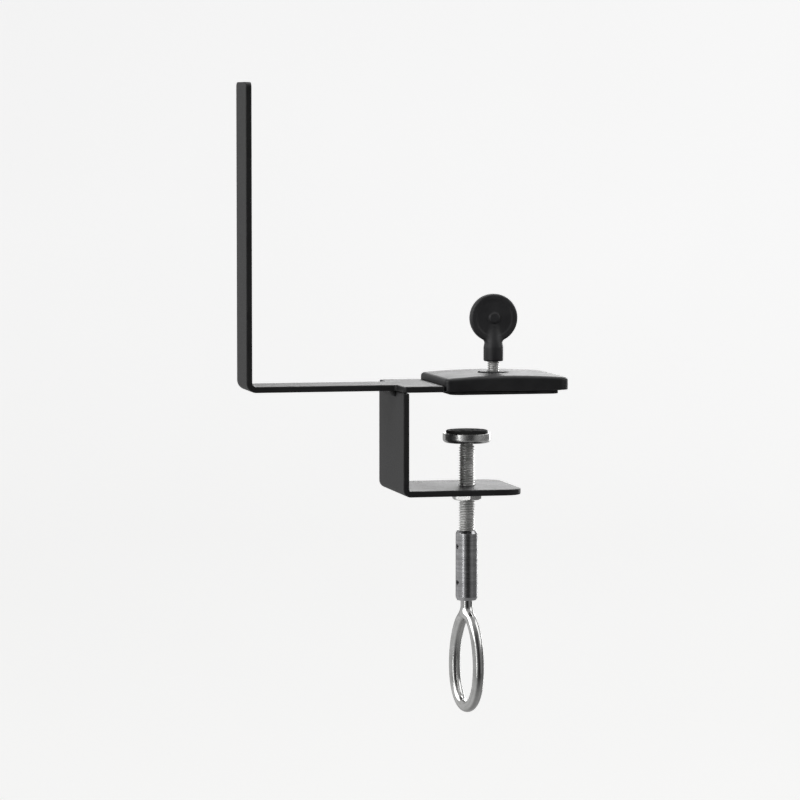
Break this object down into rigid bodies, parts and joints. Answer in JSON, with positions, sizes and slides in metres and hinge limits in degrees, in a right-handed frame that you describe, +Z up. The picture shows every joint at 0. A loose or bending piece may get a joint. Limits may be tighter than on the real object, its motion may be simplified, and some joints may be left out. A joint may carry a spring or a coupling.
{
  "type": "table tennis net clamp",
  "caption": "Screw clamp for a table's edge with an upright flat post that holds a net's end, a loop-handled clamp screw below and a finger screw above that sets the net's height.",
  "frame": {"origin": "on the clamp screw's axis, in the underside of the upper jaw's rubber pad, which rests on the tabletop", "axes": "+Z up from the tabletop, +X inboard over the table along the net, +Y along the table's edge"},
  "size_m": [0.159, 0.056, 0.3133],
  "materials": {
    "black_steel": "fine black powder coat",
    "black_plastic": "fine grained moulding",
    "rubber": "matt, ribbed",
    "zinc_steel": "bright zinc plate",
    "nickel_steel": "darker turned steel"
  },
  "bodies": {
    "frame": {"post_arm_plate": "black_steel", "jaw_bracket": "black_steel", "web_weld_bead": "black_steel", "weld_nut": "zinc_steel", "jaw_cap": "black_plastic", "jaw_pad": "rubber", "adjuster_nut": "zinc_steel", "cap_screw_1": "zinc_steel", "cap_screw_2": "zinc_steel", "cap_screw_3": "zinc_steel", "cap_screw_4": "zinc_steel"},
    "adjuster_foot": {"adjuster_foot": "black_plastic"},
    "adjuster_screw": {"adjuster_rod": "zinc_steel", "adjuster_head": "black_plastic"},
    "clamp_foot": {"foot_cup": "zinc_steel", "foot_pad": "rubber"},
    "clamp_screw": {"clamp_rod": "zinc_steel", "coupling_sleeve": "nickel_steel", "sleeve_pin_upper": "nickel_steel", "sleeve_pin_lower": "nickel_steel", "loop_handle": "zinc_steel"}
  },
  "joints": [
    {"name": "clamp_foot_slide", "type": "slide", "parent": "frame", "child": "clamp_foot", "axis": [0, 0, 1], "range_m": [-0.02063, 0.01438]},
    {"name": "clamp_screw_turn", "type": "hinge", "parent": "clamp_foot", "child": "clamp_screw", "pos_m": [0, 0, -0.06], "axis": [0, 0, 1], "range_deg": [-5940, 4140]},
    {"name": "adjuster_foot_slide", "type": "slide", "parent": "frame", "child": "adjuster_foot", "axis": [0, 0, 1], "range_m": [-0.004, 0.0005]},
    {"name": "adjuster_screw_turn", "type": "hinge", "parent": "adjuster_foot", "child": "adjuster_screw", "pos_m": [0.0135, 0, 0.02], "axis": [0, 0, 1], "range_deg": [-1440, 180]}
  ],
  "couplings": [
    {"joint": "clamp_screw_turn", "follows": "clamp_foot_slide", "rad_per_m": 5026.5},
    {"joint": "adjuster_screw_turn", "follows": "adjuster_foot_slide", "rad_per_m": 6283.2}
  ]
}
